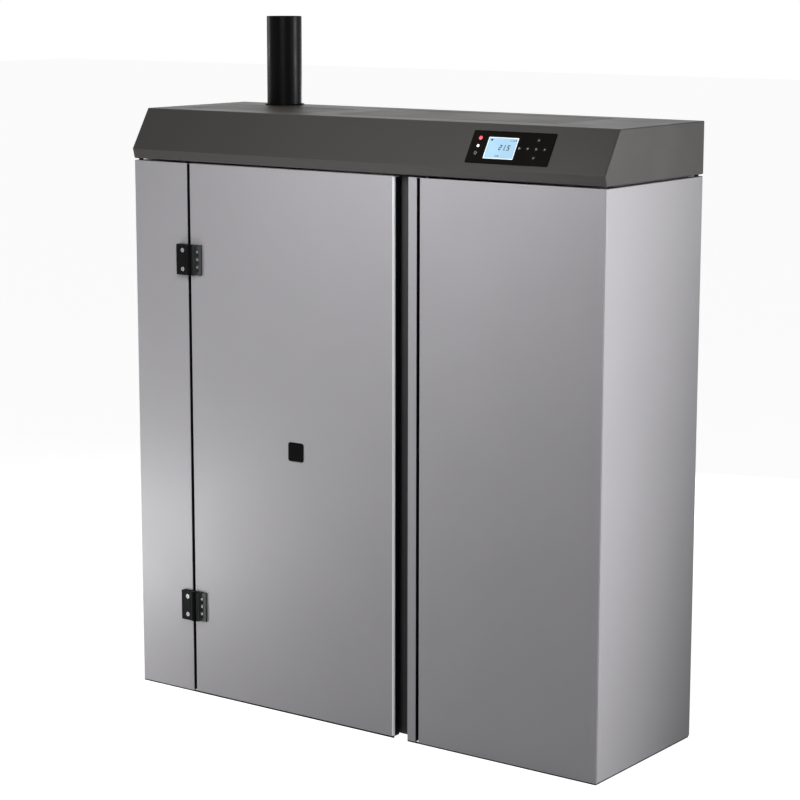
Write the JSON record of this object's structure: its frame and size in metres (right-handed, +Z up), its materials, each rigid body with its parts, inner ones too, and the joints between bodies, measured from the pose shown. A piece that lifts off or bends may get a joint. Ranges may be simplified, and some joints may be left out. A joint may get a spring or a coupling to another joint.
{
  "type": "pellet stove",
  "caption": "Slim free-standing pellet boiler cabinet with a hinged front door, dark top cover with control panel, hopper lid and rear flue pipe.",
  "frame": {"origin": "on the floor under the middle of the bounding box", "axes": "+X to the right seen from the front, +Y to the back, +Z up"},
  "size_m": [1.234, 0.429, 1.527],
  "materials": {
    "base_frame": "satin",
    "top_rail": "satin",
    "levelling_feet": "matt",
    "left_side_panel": "satin metallic",
    "right_side_panel": "satin metallic",
    "rear_panel": "galvanised",
    "left_front_strip": "satin metallic",
    "right_front_panel": "satin metallic",
    "door_stile": "satin metallic",
    "handle_channel": "dark satin",
    "partition": "galvanised",
    "cover_shell": "dark satin",
    "cover_spacers": "matt",
    "casing_screws": "zinc plated",
    "service_lid": "satin",
    "hopper_lid": "satin",
    "lid_pins": "bright",
    "outer_door": "satin metallic",
    "door_stiffener": "galvanised",
    "door_badge": "matt black, bare",
    "hinge_fixed_leaves": "black",
    "hinge_door_leaves": "black",
    "hinge_pins": "bright",
    "hinge_fixed_screws": "bright",
    "hinge_door_screws": "bright",
    "door_magnets": "black",
    "control_fascia": "black gloss",
    "display": "lit display",
    "status_lamps": "lit",
    "control_board": "board",
    "power_key": "black",
    "back_key": "black",
    "left_key": "black",
    "right_key": "black",
    "up_key": "black",
    "down_key": "black",
    "ok_key": "black",
    "firebox": "heat resistant paint",
    "firebox_door": "black",
    "firebox_door_board": "vermiculite",
    "firebox_door_seal": "glass fibre rope",
    "firebox_door_handle": "nickel plated",
    "air_intake": "grey",
    "burner_pot": "raw",
    "igniter": "ceramic",
    "ash_drawer": "steel sheet",
    "heat_exchanger": "primer",
    "turbulators": "raw",
    "exchanger_cover": "heat resistant paint",
    "flue_fan_housing": "galvanised",
    "fan_impeller": "stainless",
    "fan_motor": "black",
    "flue_pipe": "satin black enamel",
    "flue_collar": "satin black enamel",
    "hopper": "galvanised",
    "feed_tube": "grey",
    "auger": "steel",
    "gear_motor": "grey",
    "mains_inlet": "black",
    "mains_switch": "black"
  },
  "bodies": {
    "cabinet": {"base_frame": "base_frame", "top_rail": "top_rail", "levelling_feet": "levelling_feet", "left_side_panel": "left_side_panel", "right_side_panel": "right_side_panel", "rear_panel": "rear_panel", "left_front_strip": "left_front_strip", "right_front_panel": "right_front_panel", "door_stile": "door_stile", "handle_channel": "handle_channel", "partition": "partition", "cover_shell": "cover_shell", "cover_spacers": "cover_spacers", "casing_screws": "casing_screws", "lid_pins": "lid_pins", "hinge_fixed_leaves": "hinge_fixed_leaves", "hinge_pins": "hinge_pins", "hinge_fixed_screws": "hinge_fixed_screws", "door_magnets": "door_magnets", "control_fascia": "control_fascia", "display": "display", "status_lamps": "status_lamps", "control_board": "control_board", "firebox": "firebox", "air_intake": "air_intake", "burner_pot": "burner_pot", "igniter": "igniter", "heat_exchanger": "heat_exchanger", "turbulators": "turbulators", "exchanger_cover": "exchanger_cover", "flue_fan_housing": "flue_fan_housing", "fan_motor": "fan_motor", "flue_pipe": "flue_pipe", "flue_collar": "flue_collar", "hopper": "hopper", "feed_tube": "feed_tube", "gear_motor": "gear_motor", "mains_inlet": "mains_inlet"},
    "front_door": {"outer_door": "outer_door", "door_stiffener": "door_stiffener", "door_badge": "door_badge", "hinge_door_leaves": "hinge_door_leaves", "hinge_door_screws": "hinge_door_screws"},
    "firebox_door": {"firebox_door": "firebox_door", "firebox_door_board": "firebox_door_board", "firebox_door_seal": "firebox_door_seal"},
    "door_latch": {"firebox_door_handle": "firebox_door_handle"},
    "ash_drawer": {"ash_drawer": "ash_drawer"},
    "service_lid": {"service_lid": "service_lid"},
    "hopper_lid": {"hopper_lid": "hopper_lid"},
    "fan_impeller": {"fan_impeller": "fan_impeller"},
    "auger": {"auger": "auger"},
    "mains_switch": {"mains_switch": "mains_switch"},
    "power_key": {"power_key": "power_key"},
    "back_key": {"back_key": "back_key"},
    "left_key": {"left_key": "left_key"},
    "right_key": {"right_key": "right_key"},
    "up_key": {"up_key": "up_key"},
    "down_key": {"down_key": "down_key"},
    "ok_key": {"ok_key": "ok_key"}
  },
  "joints": [
    {"name": "front_door_swing", "type": "hinge", "parent": "cabinet", "child": "front_door", "pos_m": [-0.45225, -0.2075, 0.6], "axis": [0, 0, -1], "range_deg": [0, 110]},
    {"name": "firebox_door_swing", "type": "hinge", "parent": "cabinet", "child": "firebox_door", "pos_m": [-0.389, -0.1455, 0.4], "axis": [0, 0, -1], "range_deg": [0, 99]},
    {"name": "firebox_latch_turn", "type": "hinge", "parent": "firebox_door", "child": "door_latch", "pos_m": [-0.192, -0.1525, 0.3965], "axis": [0, -1, 0], "range_deg": [0, 90]},
    {"name": "ash_drawer_slide", "type": "slide", "parent": "cabinet", "child": "ash_drawer", "axis": [0, -1, 0], "range_m": [0, 0.2]},
    {"name": "service_lid_lift", "type": "hinge", "parent": "cabinet", "child": "service_lid", "pos_m": [-0.3815, 0.0755, 1.32], "axis": [-1, 0, 0], "range_deg": [0, 94]},
    {"name": "hopper_lid_lift", "type": "hinge", "parent": "cabinet", "child": "hopper_lid", "pos_m": [0.147, 0.1305, 1.32], "axis": [-1, 0, 0], "range_deg": [0, 100]},
    {"name": "fan_spin", "type": "hinge", "parent": "cabinet", "child": "fan_impeller", "pos_m": [-0.465, 0.0885, 1.112], "axis": [1, 0, 0], "continuous": true},
    {"name": "auger_spin", "type": "hinge", "parent": "cabinet", "child": "auger", "pos_m": [-0.015, 0.0085, 0.4], "axis": [1, 0, 0], "continuous": true},
    {"name": "mains_switch_rock", "type": "hinge", "parent": "cabinet", "child": "mains_switch", "pos_m": [0.485, 0.1835, 0.134], "axis": [1, 0, 0], "range_deg": [0, 16]},
    {"name": "power_key_press", "type": "slide", "parent": "cabinet", "child": "power_key", "axis": [0, 0.8523, -0.523], "range_m": [0, 0.0008], "stiffness_N_per_m": 500, "springref_m": -0.001},
    {"name": "back_key_press", "type": "slide", "parent": "cabinet", "child": "back_key", "axis": [0, 0.8523, -0.523], "range_m": [0, 0.0008], "stiffness_N_per_m": 500, "springref_m": -0.001},
    {"name": "left_key_press", "type": "slide", "parent": "cabinet", "child": "left_key", "axis": [0, 0.8523, -0.523], "range_m": [0, 0.0008], "stiffness_N_per_m": 500, "springref_m": -0.001},
    {"name": "right_key_press", "type": "slide", "parent": "cabinet", "child": "right_key", "axis": [0, 0.8523, -0.523], "range_m": [0, 0.0008], "stiffness_N_per_m": 500, "springref_m": -0.001},
    {"name": "up_key_press", "type": "slide", "parent": "cabinet", "child": "up_key", "axis": [0, 0.8523, -0.523], "range_m": [0, 0.0008], "stiffness_N_per_m": 500, "springref_m": -0.001},
    {"name": "down_key_press", "type": "slide", "parent": "cabinet", "child": "down_key", "axis": [0, 0.8523, -0.523], "range_m": [0, 0.0008], "stiffness_N_per_m": 500, "springref_m": -0.001},
    {"name": "ok_key_press", "type": "slide", "parent": "cabinet", "child": "ok_key", "axis": [0, 0.8523, -0.523], "range_m": [0, 0.0008], "stiffness_N_per_m": 500, "springref_m": -0.001}
  ],
  "couplings": [
    {"joint": "firebox_door_swing", "follows": "front_door_swing", "ratio": 0.9},
    {"joint": "ash_drawer_slide", "follows": "front_door_swing", "m_per_rad": 0.104}
  ]
}
